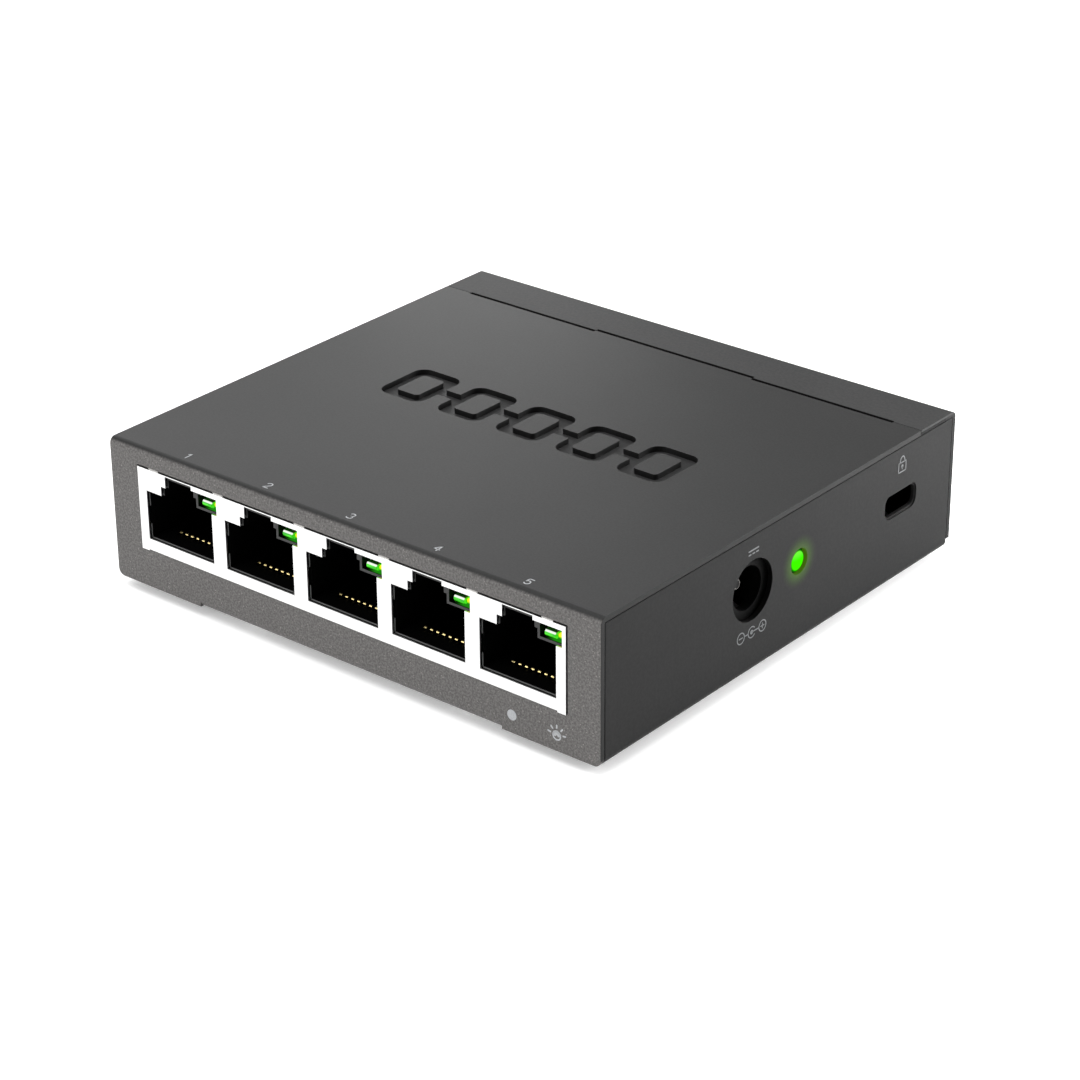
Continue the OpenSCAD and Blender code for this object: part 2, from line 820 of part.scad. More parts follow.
module dc_jack_body() {
    color("#121212")
        difference() {
            block(
                [socket_back, socket_y - socket_w / 2, board_top],
                [socket_face, socket_y + socket_w / 2, board_top + socket_h]
            );
            bar_x(bore_floor_x, side_x + 1, socket_y, socket_axis, socket_bore_r);
            bar_x(socket_back - 1, bore_floor_x + 1, socket_y, socket_axis, pin_root_r + 0.03);
            // channel for the leaf spring and its terminal
            block(
                [leaf_hinge_x - 0.6, socket_y - 1.6, socket_axis - 5],
                [socket_face - 1.3, socket_y + 1.6, socket_axis - 2.4]
            );
            block(
                [leaf_hinge_x - 1.2, socket_y - 1.6, board_top - 1],
                [leaf_hinge_x - 0.3, socket_y + 1.6, socket_axis - 3.2]
            );
        }
}

// Centre pin with a thicker root that is pressed into the socket's back wall.
module dc_jack_pin() {
    color("#cfcfca") {
        bar_x(socket_back - 0.2, bore_floor_x, socket_y, socket_axis, pin_root_r);
        bar_x(bore_floor_x - 0.1, pin_tip_x - pin_bevel, socket_y, socket_axis, centre_pin_r);
        translate([pin_tip_x - pin_bevel, socket_y, socket_axis])
            rotate([0, 90, 0])
                cylinder(h = pin_bevel, r1 = centre_pin_r, r2 = centre_pin_r - 0.4);
    }
}

// Spring that presses on a plug's sleeve; it turns a little about its rear end.
module dc_jack_leaf_spring() {
    thick = 0.25;
    reach = socket_face - 2 - leaf_hinge_x;
    color("#cfcfca")
        translate([leaf_hinge_x, socket_y + 1.2, leaf_hinge_z])
            rotate([90, 0, 0])
                linear_extrude(2.4)
                    polygon([
                        [0.4, 0.02], [reach * 0.62, 1.15], [reach * 0.74, 1.15], [reach, 0.3],
                        [reach, 0.3 - thick], [reach * 0.74, 1.15 - thick],
                        [reach * 0.62, 1.15 - thick], [0.4, 0.02 - thick]
                    ]);
}

module dc_jack_terminals() {
    color("#c9c9c4") {
        // centre pin
        block(
            [socket_back - 0.6, socket_y - 1.2, pin_tip_z],
            [socket_back - 0.2, socket_y + 1.2, socket_axis + 1.6]
        );
        // leaf spring
        block(
            [leaf_hinge_x - 0.9, socket_y - 1.2, pin_tip_z],
            [leaf_hinge_x - 0.5, socket_y + 1.2, leaf_hinge_z]
        );
        block(
            [leaf_hinge_x - 0.9, socket_y - 1.2, leaf_hinge_z - 0.15],
            [leaf_hinge_x, socket_y + 1.2, leaf_hinge_z + 0.15]
        );
        translate([leaf_hinge_x, socket_y + 1.2, leaf_hinge_z])
            rotate([90, 0, 0])
                cylinder(h = 2.4, r = 0.22, $fn = 24);
        // switched contact beside the body
        block(
            [leaf_hinge_x + 1, socket_y + socket_w / 2 + 0.1, pin_tip_z],
            [leaf_hinge_x + 3.4, socket_y + socket_w / 2 + 0.5, socket_axis - 1]
        );
    }
}

// ---- power lamp ----

module power_led() {
    tip = side_x - 0.05;
    dome_r = lamp_r * 2.5;
    color("#7be05f") {
        intersection() {
            bar_x(tip - 5, tip + 1, lamp_y, lamp_axis, lamp_r);
            // the sphere's pole lies on the lens's axis
            translate([tip - dome_r, lamp_y, lamp_axis])
                rotate([0, 90, 0])
                    sphere(r = dome_r);
        }
        bar_x(tip - 5.8, tip - 4.9, lamp_y, lamp_axis, lamp_r + 0.4);
    }
}

module power_led_leads() {
    x = side_x - 7.6;
    half = 0.25;
    color("#c9c9c6")
        for (side = SIDES)
            translate([0, lamp_y + side * 1.27, 0]) {
                block([x - half, -half, lamp_axis - half], [side_x - 5.85, half, lamp_axis + half]);
                block([x - half, -half, pin_tip_z], [x + half, half, lamp_axis + half]);
            }
}

// ---- parts on the board ----

// A moulded package standing on the board, with bevelled upper edges.
module package(x, y, w, d, h) {
    bevel = 0.3;
    translate([x, y, board_top])
        difference() {
            block([-w / 2, -d / 2, 0], [w / 2, d / 2, h]);
            for (side = SIDES) {
                translate([side * w / 2, 0, h])
                    rotate([0, 45, 0])
                        cube([bevel * 1.41, d + 2, bevel * 1.41], center = true);
                translate([0, side * d / 2, h])
                    rotate([45, 0, 0])
                        cube([w + 2, bevel * 1.41, bevel * 1.41], center = true);
            }
        }
}

module switch_chip() {
    color("#1b1b1d")
        difference() {
            package(0, chip_y, 14, 14, chip_h);
            translate([-5.8, chip_y - 5.8, board_top + chip_h - 0.15])
                cylinder(h = 1, r = 0.5);
        }
}

module thermal_pad() {
    color("#8fa3ad")
        block([-6, chip_y - 6, board_top + chip_h], [6, chip_y + 6, board_top + chip_h + pad_h]);
}

module heat_sink() {
    fins = 7;
    fin_step = 2.2;
    fin_half = 0.35;
    low = board_top + chip_h + pad_h;
    color("#2b2b2d")
        union() {
            block([-sink_half, chip_y - sink_half, low], [sink_half, chip_y + sink_half, low + sink_plate_h]);
            for (i = [0 : fins - 1]) {
                x = (i - (fins - 1) / 2) * fin_step;
                block(
                    [x - fin_half, chip_y - sink_half, low + sink_plate_h - 0.1],
                    [x + fin_half, chip_y + sink_half, low + sink_h]
                );
            }
        }
}

module magnetics(n) {
    color("#161618")
        package(jack_x + (n - 3) * magnetic_pitch, magnetic_y, magnetic_w, 6.6, 5.4);
}

module crystal() {
    color("#c8c8c4")
        translate([-17, chip_y - 3, board_top])
            linear_extrude(3.5)
                polygon(rounded_outline(4.6, 10.6, 2.2));
}

module electrolytic_capacitors() {
    color("#26282c")
        for (y = [storage_y, storage_y + 8])
            translate([storage_x, y, board_top]) {
                cylinder(h = 9.6, r = storage_r);
                translate([0, 0, 9.6])
                    cylinder(h = 0.4, r1 = storage_r, r2 = storage_r - 0.4);
            }
}

module power_inductor() {
    color("#2f3033")
        translate([coil_x, coil_y, board_top])
            difference() {
                linear_extrude(4)
                    polygon(rounded_outline(7.4, 7.4, 1.4));
                translate([0, 0, 3.7])
                    cylinder(h = 1, r = 2.4);
            }
}

module regulator_chip() {
    color("#1b1b1d")
        package(coil_x - 1, regulator_y, 6.5, 3.6, 1.7);
}

module memory_chip() {
    color("#1b1b1d")
        package(-24, chip_y + 11.1, 5, 4, 1.6);
}

module schottky_diode() {
    color("#1b1b1d")
        package(diode_x, diode_y, 4.4, 2.6, 2.1);
}

module chip_capacitors() {
    color("#b89a72")
        for (i = [0 : 7], side = SIDES)
            translate([(i - 3.5) * 2.4 - 0.8, chip_y + side * 9.6 - 0.4, board_top])
                cube([1.6, 0.8, 0.8]);
}

module chip_resistors() {
    color("#202022")
        for (i = [0 : 9], side = SIDES)
            translate([(i - 4.5) * 2.6 - 0.8, chip_y + 12.6 + side * 0.9 - 0.4, board_top])
                cube([1.6, 0.8, 0.5]);
}

top_cover();
base_tray();
case_screws();
standoffs();
board_screws();
foot(-1, -1);  // foot_front_left
foot(1, -1);  // foot_front_right
foot(-1, 1);  // foot_rear_left
foot(1, 1);  // foot_rear_right
rating_label();
main_board();
jack_housing();
jack_shield();
contacts(1);  // port_1_contacts
contacts(2);  // port_2_contacts
contacts(3);  // port_3_contacts
contacts(4);  // port_4_contacts
contacts(5);  // port_5_contacts
tails(1);  // port_1_tails
tails(2);  // port_2_tails
tails(3);  // port_3_tails
tails(4);  // port_4_tails
tails(5);  // port_5_tails
port_led(1);  // port_1_led
port_led(2);  // port_2_led
port_led(3);  // port_3_led
port_led(4);  // port_4_led
port_led(5);  // port_5_led
port_led_leads();
dc_jack_body();
dc_jack_pin();
dc_jack_leaf_spring();
dc_jack_terminals();
power_led();
power_led_leads();
switch_chip();
thermal_pad();
heat_sink();
magnetics(1);  // magnetics_1
magnetics(2);  // magnetics_2
magnetics(3);  // magnetics_3
magnetics(4);  // magnetics_4
magnetics(5);  // magnetics_5
crystal();
electrolytic_capacitors();
power_inductor();
regulator_chip();
memory_chip();
schottky_diode();
chip_capacitors();
chip_resistors();
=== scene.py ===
"""Desktop network switch in a folded steel case: camera, studio light, finishes and printed marks.

All lengths are metres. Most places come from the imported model; the names in quotes are its own pieces.
"""

import json
import math

import bmesh
import bpy
import numpy as np
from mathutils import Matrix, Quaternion, Vector


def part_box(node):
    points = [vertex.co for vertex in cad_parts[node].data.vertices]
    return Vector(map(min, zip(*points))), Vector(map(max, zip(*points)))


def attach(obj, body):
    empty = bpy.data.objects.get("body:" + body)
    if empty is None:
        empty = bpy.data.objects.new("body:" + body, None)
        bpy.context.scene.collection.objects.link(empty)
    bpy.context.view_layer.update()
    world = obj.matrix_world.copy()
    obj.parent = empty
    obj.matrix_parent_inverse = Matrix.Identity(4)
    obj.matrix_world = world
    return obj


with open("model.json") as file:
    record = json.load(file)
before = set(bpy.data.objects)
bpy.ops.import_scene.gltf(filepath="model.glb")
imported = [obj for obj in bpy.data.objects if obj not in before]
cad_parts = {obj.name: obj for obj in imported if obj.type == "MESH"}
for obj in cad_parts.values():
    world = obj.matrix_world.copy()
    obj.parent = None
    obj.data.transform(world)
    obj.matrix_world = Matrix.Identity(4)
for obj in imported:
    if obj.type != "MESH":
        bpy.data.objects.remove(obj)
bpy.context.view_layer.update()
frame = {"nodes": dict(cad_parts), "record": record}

MM = 0.001


NODES = frame["nodes"]
PORTS = range(1, 6)

# ---- places that the marks and finishes follow ----

COVER_LOW, COVER_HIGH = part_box("top_cover")
SHIELD_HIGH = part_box("jack_shield")[1]
PIN_LOW, PIN_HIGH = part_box("dc_jack_pin")
LAMP_LOW, LAMP_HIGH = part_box("power_led")
HOUSING_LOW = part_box("jack_housing")[0]
PORT_LAMP_LOW, PORT_LAMP_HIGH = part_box("port_3_led")
TAIL_LOW, TAIL_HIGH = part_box("port_3_tails")

FRONT_Y = COVER_LOW.y
TOP_Z = COVER_HIGH.z
BASE_Z = COVER_LOW.z
SIDE_X = COVER_HIGH.x
FOLD = 0.9 * MM  # outer radius of the cover's folds


def middle_x(name):
    """Middle of a node's box, left to right."""
    low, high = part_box(name)
    return (low.x + high.x) / 2


PORT_X = {n: middle_x(f"port_{n}_contacts") for n in PORTS}
PORT_PITCH = PORT_X[2] - PORT_X[1]
LAMP_Y = (LAMP_LOW.y + LAMP_HIGH.y) / 2
LAMP_Z = (LAMP_LOW.z + LAMP_HIGH.z) / 2
SOCKET_Y = (PIN_LOW.y + PIN_HIGH.y) / 2
SOCKET_Z = (PIN_LOW.z + PIN_HIGH.z) / 2

# ---- camera ----

CAMERA_AIM = Vector((9.42, -10.76, 11.52)) * MM
CAMERA_DISTANCE = 407.35 * MM
CAMERA_AZIMUTH = math.radians(39.416)
CAMERA_ELEVATION = math.radians(26.414)
CAMERA_ROLL = math.radians(0.369)
CAMERA_SENSOR = 36  # millimetres
CAMERA_LENS = 104.965  # millimetres


def add_camera():
    """A long lens to the right of the front, looking down on the case."""
    towards = Vector((
        math.sin(CAMERA_AZIMUTH) * math.cos(CAMERA_ELEVATION),
        -math.cos(CAMERA_AZIMUTH) * math.cos(CAMERA_ELEVATION),
        math.sin(CAMERA_ELEVATION),
    ))
    data = bpy.data.cameras.new("camera")
    data.sensor_width = CAMERA_SENSOR
    data.lens = CAMERA_LENS
    data.clip_start = 0.01
    data.clip_end = 20
    camera = bpy.data.objects.new("camera", data)
    bpy.context.scene.collection.objects.link(camera)
    camera.location = CAMERA_AIM + towards * CAMERA_DISTANCE
    turn = (-towards).to_track_quat("-Z", "Y") @ Quaternion((0, 0, 1), -CAMERA_ROLL)
    camera.rotation_euler = turn.to_euler()
    bpy.context.scene.camera = camera


# ---- light and floor ----

def add_softbox(name, place, aim, size, power):
    """A square softbox that faces a point and isn't seen itself."""
    data = bpy.data.lights.new(name, "AREA")
    data.shape = "RECTANGLE"
    data.size, data.size_y = size
    data.energy = power
    light = bpy.data.objects.new(name, data)
    bpy.context.scene.collection.objects.link(light)
    light.location = place
    light.rotation_euler = (Vector(aim) - Vector(place)).to_track_quat("-Z", "Y").to_euler()
    light.visible_camera = False


def studio_sky():
    """A sky that is pale overhead and dim at the horizon."""
    world = bpy.data.worlds.new("studio")
    world.use_nodes = True
    nodes = world.node_tree.nodes
    links = world.node_tree.links
    place = nodes.new("ShaderNodeTexCoord")
    split = nodes.new("ShaderNodeSeparateXYZ")
    links.new(place.outputs["Generated"], split.inputs[0])
    ramp = nodes.new("ShaderNodeMapRange")
    ramp.interpolation_type = "SMOOTHSTEP"
    ramp.inputs["From Min"].default_value = 0.35
    ramp.inputs["From Max"].default_value = 0.95
    ramp.inputs["To Min"].default_value = 0.15
    ramp.inputs["To Max"].default_value = 1.2
    links.new(split.outputs["Z"], ramp.inputs["Value"])
    links.new(ramp.outputs[0], nodes["Background"].inputs["Strength"])
    nodes["Background"].inputs["Color"].default_value = (1, 1, 1, 1)
    return world


def add_studio():
    """Soft light from above, in front and both rear corners."""
    scene = bpy.context.scene
    scene.view_settings.view_transform = "Standard"
    scene.world = studio_sky()
    centre = (0, 0, 0.01)
    add_softbox("overhead_softbox", (-0.1, -0.1, 0.9), centre, (0.9, 0.9), 5.0)
    add_softbox("rear_left_softbox", (-0.30, 0.14, 0.20), (-0.03, 0.0, 0.02), (0.22, 0.22), 0.26)
    add_softbox("near_left_softbox", (-0.15, 0.17, 0.06), (-0.03, 0.03, 0.025), (0.06, 0.06), 0.040)
    add_softbox("front_softbox", (-0.35, -0.8, 0.35), centre, (0.8, 0.5), 5.0)
    add_softbox("rear_right_softbox", (0.15, 0.15, 0.07), (0.041, 0.035, 0.01), (0.07, 0.07), 0.55)


def add_floor():
    """A wide flat pale floor that the feet stand on."""
    reach = 3.0
    corners = [(-reach, -reach, 0), (reach, -reach, 0), (reach, reach, 0), (-reach, reach, 0)]
    mesh = bpy.data.meshes.new("floor")
    mesh.from_pydata(corners, [], [(0, 1, 2, 3)])
    floor = bpy.data.objects.new("floor", mesh)
    bpy.context.scene.collection.objects.link(floor)
    material = bpy.data.materials.new("floor_paper")
    material.use_nodes = True
    shader = material.node_tree.nodes["Principled BSDF"]
    shader.inputs["Base Color"].default_value = (0.88, 0.88, 0.88, 1)
    shader.inputs["Roughness"].default_value = 0.9
    shader.inputs["Specular IOR Level"].default_value = 0.1
    shader.inputs["Emission Color"].default_value = (1, 1, 1, 1)
    shader.inputs["Emission Strength"].default_value = 0.25
    mesh.materials.append(material)


# ---- node helpers ----

class Finish:
    """A material under construction: its nodes, made one call at a time."""

    def __init__(self, name, roughness=0.5, metallic=0.0, specular=0.5):
        self.material = bpy.data.materials.new(name)
        self.material.use_nodes = True
        self.nodes = self.material.node_tree.nodes
        self.links = self.material.node_tree.links
        self.shader = self.nodes["Principled BSDF"]
        self.shader.inputs["Metallic"].default_value = metallic
        self.shader.inputs["Roughness"].default_value = roughness
        self.shader.inputs["Specular IOR Level"].default_value = specular
        self.place = self.nodes.new("ShaderNodeTexCoord").outputs["Object"]
        split = self.nodes.new("ShaderNodeSeparateXYZ")
        self.links.new(self.place, split.inputs[0])
        self.x, self.y, self.z = split.outputs

    def put(self, socket, value):
        """Sets a socket to a number or links it to another."""
        if isinstance(value, bpy.types.NodeSocket):
            self.links.new(value, socket)
        else:
            socket.default_value = value

    def math(self, operation, a, b=0.0):
        """One step of arithmetic on numbers or sockets."""
        node = self.nodes.new("ShaderNodeMath")
        node.operation = operation
        self.put(node.inputs[0], a)
        self.put(node.inputs[1], b)
        return node.outputs[0]

    def product(self, first, *others):
        """All the values multiplied together."""
        for other in others:
            first = self.math("MULTIPLY", first, other)
        return first

    def from_axis(self, y, z):
        """Distance from a line along X through y and z: the root of the two squares' sum."""
        along = self.math("SUBTRACT", self.y, y)
        up = self.math("SUBTRACT", self.z, z)
        squares = self.math("ADD", self.product(along, along), self.product(up, up))
        return self.math("SQRT", squares)

    def beside_port(self):
        """Distance to the right of a port's middle, the same again at every port."""
        left_end = PORT_X[1] - PORT_PITCH / 2
        along = self.math("MODULO", self.math("SUBTRACT", self.x, left_end), PORT_PITCH)
        return self.math("SUBTRACT", along, PORT_PITCH / 2)

    def ramp(self, value, low, high, to_low=0.0, to_high=1.0, smooth=True):
        """Carries low..high to to_low..to_high, held at both ends."""
        node = self.nodes.new("ShaderNodeMapRange")
        node.interpolation_type = "SMOOTHSTEP" if smooth else "LINEAR"
        self.put(node.inputs["Value"], value)
        self.put(node.inputs["From Min"], low)
        self.put(node.inputs["From Max"], high)
        self.put(node.inputs["To Min"], to_low)
        self.put(node.inputs["To Max"], to_high)
        return node.outputs[0]

    def noise(self, size, detail=2.0, roughness=0.5, stretch=None):
        """Soft noise with lumps of about the given size."""
        node = self.nodes.new("ShaderNodeTexNoise")
        node.inputs["Scale"].default_value = 1 / size
        node.inputs["Detail"].default_value = detail
        node.inputs["Roughness"].default_value = roughness
        if stretch is None:
            self.links.new(self.place, node.inputs["Vector"])
        else:
            mapping = self.nodes.new("ShaderNodeMapping")
            mapping.inputs["Scale"].default_value = stretch
            self.links.new(self.place, mapping.inputs["Vector"])
            self.links.new(mapping.outputs[0], node.inputs["Vector"])
        return node.outputs[0]

    def grains(self, size):
        """Random value per cell and distance to the cell's middle, for flecks."""
        node = self.nodes.new("ShaderNodeTexVoronoi")
        node.inputs["Scale"].default_value = 1 / size
        self.links.new(self.place, node.inputs["Vector"])
        pick = self.nodes.new("ShaderNodeSeparateColor")
        self.links.new(node.outputs["Color"], pick.inputs[0])
        return pick.outputs[0], node.outputs["Distance"]

    def mix(self, share, a, b):
        """Colour a at share 0, colour b at share 1."""
        node = self.nodes.new("ShaderNodeMix")
        node.data_type = "RGBA"
        self.put(node.inputs[0], share)
        self.put(node.inputs[6], (*a, 1) if isinstance(a, tuple) else a)
        self.put(node.inputs[7], (*b, 1) if isinstance(b, tuple) else b)
        return node.outputs[2]

    def shade(self, colour, factor):
        """A colour times a number."""
        node = self.nodes.new("ShaderNodeVectorMath")
        node.operation = "SCALE"
        self.put(node.inputs[0], colour)
        self.put(node.inputs["Scale"], factor)
        return node.outputs[0]

    def bump(self, height, depth, strength, normal=None):
        """Raises the surface's look by depth where height is 1."""
        node = self.nodes.new("ShaderNodeBump")
        node.inputs["Strength"].default_value = strength
        node.inputs["Distance"].default_value = depth
        self.links.new(height, node.inputs["Height"])
        if normal is not None:
            self.links.new(normal, node.inputs["Normal"])
        self.links.new(node.outputs[0], self.shader.inputs["Normal"])

    def soft_edges(self, radius):
        """Rounded look of sharp edges."""
        node = self.nodes.new("ShaderNodeBevel")
        node.samples = 4
        node.inputs["Radius"].default_value = radius
        return node.outputs[0]

    def colour(self, value):
        """Sets the surface's own colour."""
        self.put(self.shader.inputs["Base Color"], value)

    def rough(self, value):
        """Sets the roughness."""
        self.put(self.shader.inputs["Roughness"], value)

    def glow(self, colour, strength):
        """Sets the light that the surface gives off."""
        self.put(self.shader.inputs["Emission Color"], colour)
        self.put(self.shader.inputs["Emission Strength"], strength)


# ---- finishes ----

def top_colour(f, grain):
    """Smooth dark grey of both top faces."""
    cloud = f.noise(14 * MM, detail=2)
    paint = f.mix(f.ramp(grain, 0.35, 0.65), (0.0225, 0.0225, 0.0225), (0.0285, 0.0285, 0.0285))
    return f.shade(paint, f.ramp(cloud, 0.3, 0.7, 0.97, 1.03))


def under_top(f):
    """0 on the top faces and 1 a little below them."""
    return f.ramp(f.z, TOP_Z - 0.06 * MM, TOP_Z - 0.03 * MM, 1, 0)


def cover_paint():
    """Warm flecked paint on the front panel, smoother and darker on the top; painted shade makes it darkest
    along the fold, darkens the pressed pattern's walls and turns the cut side edges near black.
    """
    f = Finish("cover_paint", roughness=0.45, specular=0.2)
    grain = f.noise(0.28 * MM, detail=2, roughness=0.6)
    cell, middle = f.grains(0.24 * MM)
    fleck = f.product(f.ramp(cell, 0.82, 1.0), f.ramp(middle, 0.1, 0.5, 1, 0))
    front = f.mix(f.ramp(grain, 0.35, 0.65), (0.070, 0.067, 0.065), (0.122, 0.117, 0.114))
    front = f.mix(f.product(fleck, 0.7), front, (0.30, 0.28, 0.265))
    top = top_colour(f, grain)
    # Painted shade: the cover's cut side edges are painted near black, for the shade on the sheet's edge.
    edge = f.math("GREATER_THAN", f.math("ABSOLUTE", f.x), SIDE_X - 0.02 * MM)
    # Painted shade: the walls of the pressed pattern, between the top faces and the pressed floors, are
    # darkened to 22%.
    behind = f.math("GREATER_THAN", f.y, FRONT_Y + 2 * MM)
    above_pressed = f.ramp(f.z, TOP_Z - 0.79 * MM, TOP_Z - 0.77 * MM)
    pressed_wall_shade = f.product(under_top(f), behind, above_pressed)
    top = f.shade(top, f.ramp(pressed_wall_shade, 0, 1, 1, 0.22))
    on_front = f.ramp(f.y, FRONT_Y + 0.5 * FOLD, FRONT_Y + 0.15 * FOLD)
    # Painted shade: along the top of the front fold the paint is darkened to 40%, standing for the shading
    # at the bend.
    near_fold = f.math("LESS_THAN", f.y, FRONT_Y + 1.1 * FOLD)
    height = f.ramp(f.z, TOP_Z - 0.75 * FOLD, TOP_Z - 0.02 * FOLD, 0, 1)
    fold_shade = f.product(near_fold, height)
    paint = f.mix(on_front, top, front)
    paint = f.shade(paint, f.ramp(fold_shade, 0, 1, 1, 0.4))
    f.colour(f.mix(edge, paint, (0.003, 0.003, 0.003)))
    f.rough(f.ramp(on_front, 0, 1, 0.45, 0.5))
    f.bump(grain, 0.02 * MM, 0.2, f.soft_edges(0.05 * MM))
    return f.material


def tray_paint():
    """Satin grey paint; the side and the top flange are lit and shaded copies of one paint, the side much
    darker, with painted shade beside the cover's seams, in the socket hole and under the cover, and a
    painted green glow round the power lamp.
    """
    f = Finish("tray_paint", roughness=0.5, specular=0.1)
    grain = f.noise(0.45 * MM, detail=4, roughness=0.7)
    cloud = f.noise(16 * MM, detail=2)
    side = f.mix(f.ramp(grain, 0.35, 0.65), (0.0100, 0.0100, 0.0100), (0.0136, 0.0136, 0.0136))
    side = f.shade(side, f.ramp(cloud, 0.3, 0.7, 0.96, 1.04))
    on_top = f.math("GREATER_THAN", f.z, TOP_Z - 0.3 * MM)
    # Painted shade: on the side walls, beside the cover's seams along the top and the front, the paint is
    # darkened to 10%.
    seam_top = f.ramp(f.z, TOP_Z - 0.98 * MM, TOP_Z - 0.92 * MM)
    seam_front = f.ramp(f.y, FRONT_Y + 1.0 * MM, FRONT_Y + 0.94 * MM)
    on_wall = f.math("GREATER_THAN", f.math("ABSOLUTE", f.x), SIDE_X - 0.1 * MM)
    before_flange = f.math("LESS_THAN", f.y, COVER_HIGH.y + 1 * MM)
    seam_shade = f.product(f.math("MAXIMUM", seam_top, seam_front), on_wall, before_flange)
    side = f.shade(side, f.ramp(seam_shade, 0, 1, 1, 0.1))
    # Painted shade: within 5 mm of the socket, everything inward of the side face is darkened to 8%, for
    # the shaded wall of the socket hole; the same band also darkens across the underside and inside of the
    # tray.
    by_socket = f.math("LESS_THAN", f.math("ABSOLUTE", f.math("SUBTRACT", f.y, SOCKET_Y)), 5 * MM)
    socket_hole_shade = f.ramp(f.x, SIDE_X - 0.10 * MM, SIDE_X - 0.05 * MM, 1, 0)
    side = f.shade(side, f.ramp(f.product(by_socket, socket_hole_shade), 0, 1, 1, 0.08))
    # Painted light and shade: the side's paint is far darker than the top flange's, which is the top faces'
    # paint made 1.55 times lighter; both are lit and shaded copies of one paint.
    paint = f.mix(on_top, side, f.shade(top_colour(f, grain), 1.55))
    # Painted shade: every tray face below the top faces, inward of the side folds and no further back than
    # 2 mm behind the cover, is darkened to 15%, for the shade in the seam and under the cover.
    before = f.math("LESS_THAN", f.y, COVER_HIGH.y + 2 * MM)
    inside = f.math("LESS_THAN", f.math("ABSOLUTE", f.x), SIDE_X - FOLD)
    flange_seam_shade = f.product(under_top(f), before, inside)
    f.colour(f.shade(paint, f.ramp(flange_seam_shade, 0, 1, 1, 0.15)))
    # Painted light: a green glow from the power lamp is painted onto the tray's side as emission, fading
    # from 1.3 to 3.9 mm off the lamp's axis.
    outside = f.math("GREATER_THAN", f.x, SIDE_X - 0.9 * MM)
    lamp_glow_fade = f.ramp(f.from_axis(LAMP_Y, LAMP_Z), 1.3 * MM, 3.9 * MM, 1, 0, smooth=False)
    f.glow((0.28, 0.75, 0.0, 1), f.product(lamp_glow_fade, lamp_glow_fade, outside, 0.24))
    f.bump(grain, 0.015 * MM, 0.15, f.soft_edges(0.05 * MM))
    return f.material


def bright_shield():
    """Bright tin plate with a faint drawn grain; the earthing springs on top are painted greyer as painted
    shade in the gap under the cover.
    """
    f = Finish("bright_shield", roughness=0.3, metallic=1.0)
    lines = f.noise(0.25 * MM, detail=2, stretch=(0.15, 1, 1))
    plate = f.mix(f.ramp(lines, 0.3, 0.7), (0.76, 0.76, 0.755), (0.80, 0.80, 0.795))
    # Painted shade: shield faces within 0.19 mm of its top, the earthing springs, are painted greyer for
    # the shade in the gap under the cover's window edge.
    spring = f.math("GREATER_THAN", f.z, SHIELD_HIGH.z - 0.19 * MM)
    f.colour(f.mix(spring, plate, (0.36, 0.35, 0.34)))
    f.rough(f.ramp(lines, 0.3, 0.7, 0.3, 0.36))
    f.bump(lines, 0.002 * MM, 0.1)
    return f.material


def port_plastic():
    """Black moulded plastic; the rims round the openings are painted grey as a painted highlight, and the
    lamp ledges carry a painted green glow.
    """
    rim_y = HOUSING_LOW.y
    f = Finish("port_plastic", roughness=0.45, specular=0.08)
    grain = f.noise(0.3 * MM, detail=2)
    # Painted highlight: the plastic's front face is painted grey, 0.05 level with the lamps and 0.13 below
    # them, for the rims catching light.
    rim = f.math("LESS_THAN", f.y, rim_y + 0.03 * MM)
    black = f.mix(grain, (0.0005, 0.0005, 0.0005), (0.0011, 0.0011, 0.0011))
    upper = f.math("GREATER_THAN", f.z, PORT_LAMP_LOW.z - 0.9 * MM)
    f.colour(f.mix(rim, black, f.mix(upper, (0.13, 0.13, 0.13), (0.05, 0.05, 0.05))))
    # Painted light: a green reflection of the port lamp is painted as emission on the plastic ledge under
    # it.
    by_lamp = f.ramp(f.beside_port(), 3.9 * MM, 5.2 * MM)
    off_ledge = f.math("ABSOLUTE", f.math("SUBTRACT", f.z, PORT_LAMP_LOW.z - 0.1 * MM))
    lamp_ledge_glow = f.ramp(off_ledge, 0.03 * MM, 0.08 * MM, 1, 0)
    inside = f.ramp(f.y, rim_y + 0.1 * MM, rim_y + 0.3 * MM)
    f.glow((0.02, 0.45, 0.01, 1), f.product(by_lamp, lamp_ledge_glow, inside, 0.5))
    f.bump(grain, 0.006 * MM, 0.2)
    return f.material


def black_plastic(name, roughness):
    """Nearly black moulded plastic."""
    f = Finish(name, roughness=roughness, specular=0.05)
    grain = f.noise(0.3 * MM, detail=2)
    f.colour(f.mix(grain, (0.0006, 0.0006, 0.0006), (0.0013, 0.0013, 0.0013)))
    f.bump(grain, 0.01 * MM, 0.2)
    return f.material


